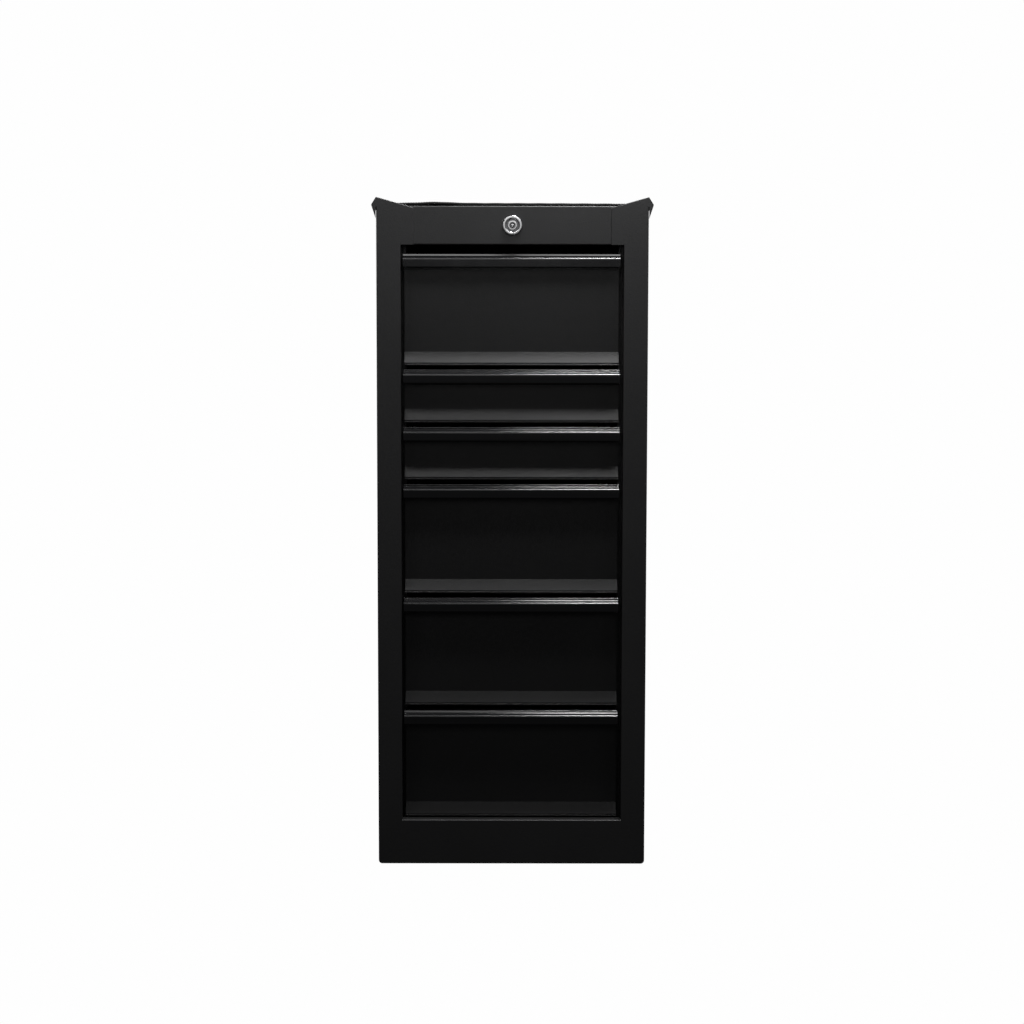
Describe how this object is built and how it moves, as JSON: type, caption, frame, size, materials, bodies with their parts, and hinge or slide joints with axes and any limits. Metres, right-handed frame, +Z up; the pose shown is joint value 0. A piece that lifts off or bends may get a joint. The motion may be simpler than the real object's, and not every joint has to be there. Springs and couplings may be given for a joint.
{
  "type": "tall chest of drawers",
  "caption": "Tall narrow black steel tool cabinet with lockable full-width drawers on ball slides, a raised rim round its flat top and a rubber top mat.",
  "frame": {"origin": "on the floor, under the middle of the overall box", "axes": "+Z up, -Y towards the front, where the drawers open, +X to the right seen from the front"},
  "size_m": [0.3828, 0.46, 0.9221],
  "materials": {
    "case_paint": "semi-gloss fine-textured black powder coat",
    "drawer_paint": "semi-gloss fine-textured black powder coat",
    "handle_gloss": "smooth gloss black paint",
    "mat_rubber": "matt, fine ribs",
    "liner_rubber": "matt, fine ribs",
    "slide_zinc": "bright zinc plate",
    "bolt_zinc": "bright zinc plate",
    "lock_chrome": "polished chrome",
    "lock_steel": "black phosphated steel"
  },
  "bodies": {
    "case": {"side_panel_left": "case_paint", "side_panel_right": "case_paint", "back_panel": "case_paint", "deck_panel": "case_paint", "base_panel": "case_paint", "top_rail": "case_paint", "bottom_rail": "case_paint", "deck_mat": "mat_rubber", "slide_posts_left": "case_paint", "slide_posts_right": "case_paint", "slide_outer_members_left": "slide_zinc", "slide_outer_members_right": "slide_zinc", "slide_bolts": "bolt_zinc", "lock_housing": "lock_chrome", "lock_nut": "lock_steel", "lock_bar_guides": "lock_steel", "lock_rod_bracket": "lock_steel"},
    "lock_cylinder": {"lock_plug": "lock_chrome", "lock_rod": "lock_steel", "lock_crank": "lock_steel"},
    "lock_bar": {"lock_bar": "lock_steel"},
    "drawer_1": {"drawer_1_front": "drawer_paint", "drawer_1_handle": "handle_gloss", "drawer_1_box": "drawer_paint", "drawer_1_liner": "liner_rubber", "drawer_1_inner_members": "slide_zinc"},
    "drawer_1_middle_slides": {"drawer_1_middle_members": "slide_zinc"},
    "drawer_2": {"drawer_2_front": "drawer_paint", "drawer_2_handle": "handle_gloss", "drawer_2_box": "drawer_paint", "drawer_2_liner": "liner_rubber", "drawer_2_inner_members": "slide_zinc"},
    "drawer_2_middle_slides": {"drawer_2_middle_members": "slide_zinc"},
    "drawer_3": {"drawer_3_front": "drawer_paint", "drawer_3_handle": "handle_gloss", "drawer_3_box": "drawer_paint", "drawer_3_liner": "liner_rubber", "drawer_3_inner_members": "slide_zinc"},
    "drawer_3_middle_slides": {"drawer_3_middle_members": "slide_zinc"},
    "drawer_4": {"drawer_4_front": "drawer_paint", "drawer_4_handle": "handle_gloss", "drawer_4_box": "drawer_paint", "drawer_4_liner": "liner_rubber", "drawer_4_inner_members": "slide_zinc"},
    "drawer_4_middle_slides": {"drawer_4_middle_members": "slide_zinc"},
    "drawer_5": {"drawer_5_front": "drawer_paint", "drawer_5_handle": "handle_gloss", "drawer_5_box": "drawer_paint", "drawer_5_liner": "liner_rubber", "drawer_5_inner_members": "slide_zinc"},
    "drawer_5_middle_slides": {"drawer_5_middle_members": "slide_zinc"},
    "drawer_6": {"drawer_6_front": "drawer_paint", "drawer_6_handle": "handle_gloss", "drawer_6_box": "drawer_paint", "drawer_6_liner": "liner_rubber", "drawer_6_inner_members": "slide_zinc"},
    "drawer_6_middle_slides": {"drawer_6_middle_members": "slide_zinc"}
  },
  "joints": [
    {"name": "lock_turn", "type": "hinge", "parent": "case", "child": "lock_cylinder", "pos_m": [0, -0.218, 0.884], "axis": [0, 1, 0], "range_deg": [0, 90.01]},
    {"name": "lock_bar_drop", "type": "slide", "parent": "case", "child": "lock_bar", "axis": [0, 0, 1], "range_m": [-0.012, 0]},
    {"name": "drawer_1_slide", "type": "slide", "parent": "case", "child": "drawer_1", "axis": [0, -1, 0], "range_m": [0, 0.4]},
    {"name": "drawer_1_middle_slide", "type": "slide", "parent": "case", "child": "drawer_1_middle_slides", "axis": [0, -1, 0], "range_m": [0, 0.2]},
    {"name": "drawer_2_slide", "type": "slide", "parent": "case", "child": "drawer_2", "axis": [0, -1, 0], "range_m": [0, 0.4]},
    {"name": "drawer_2_middle_slide", "type": "slide", "parent": "case", "child": "drawer_2_middle_slides", "axis": [0, -1, 0], "range_m": [0, 0.2]},
    {"name": "drawer_3_slide", "type": "slide", "parent": "case", "child": "drawer_3", "axis": [0, -1, 0], "range_m": [0, 0.4]},
    {"name": "drawer_3_middle_slide", "type": "slide", "parent": "case", "child": "drawer_3_middle_slides", "axis": [0, -1, 0], "range_m": [0, 0.2]},
    {"name": "drawer_4_slide", "type": "slide", "parent": "case", "child": "drawer_4", "axis": [0, -1, 0], "range_m": [0, 0.4]},
    {"name": "drawer_4_middle_slide", "type": "slide", "parent": "case", "child": "drawer_4_middle_slides", "axis": [0, -1, 0], "range_m": [0, 0.2]},
    {"name": "drawer_5_slide", "type": "slide", "parent": "case", "child": "drawer_5", "axis": [0, -1, 0], "range_m": [0, 0.4]},
    {"name": "drawer_5_middle_slide", "type": "slide", "parent": "case", "child": "drawer_5_middle_slides", "axis": [0, -1, 0], "range_m": [0, 0.2]},
    {"name": "drawer_6_slide", "type": "slide", "parent": "case", "child": "drawer_6", "axis": [0, -1, 0], "range_m": [0, 0.4]},
    {"name": "drawer_6_middle_slide", "type": "slide", "parent": "case", "child": "drawer_6_middle_slides", "axis": [0, -1, 0], "range_m": [0, 0.2]}
  ],
  "couplings": [
    {"joint": "lock_turn", "follows": "lock_bar_drop", "rad_per_m": -130.9},
    {"joint": "drawer_1_middle_slide", "follows": "drawer_1_slide", "ratio": 0.5},
    {"joint": "drawer_2_middle_slide", "follows": "drawer_2_slide", "ratio": 0.5},
    {"joint": "drawer_3_middle_slide", "follows": "drawer_3_slide", "ratio": 0.5},
    {"joint": "drawer_4_middle_slide", "follows": "drawer_4_slide", "ratio": 0.5},
    {"joint": "drawer_5_middle_slide", "follows": "drawer_5_slide", "ratio": 0.5},
    {"joint": "drawer_6_middle_slide", "follows": "drawer_6_slide", "ratio": 0.5}
  ]
}
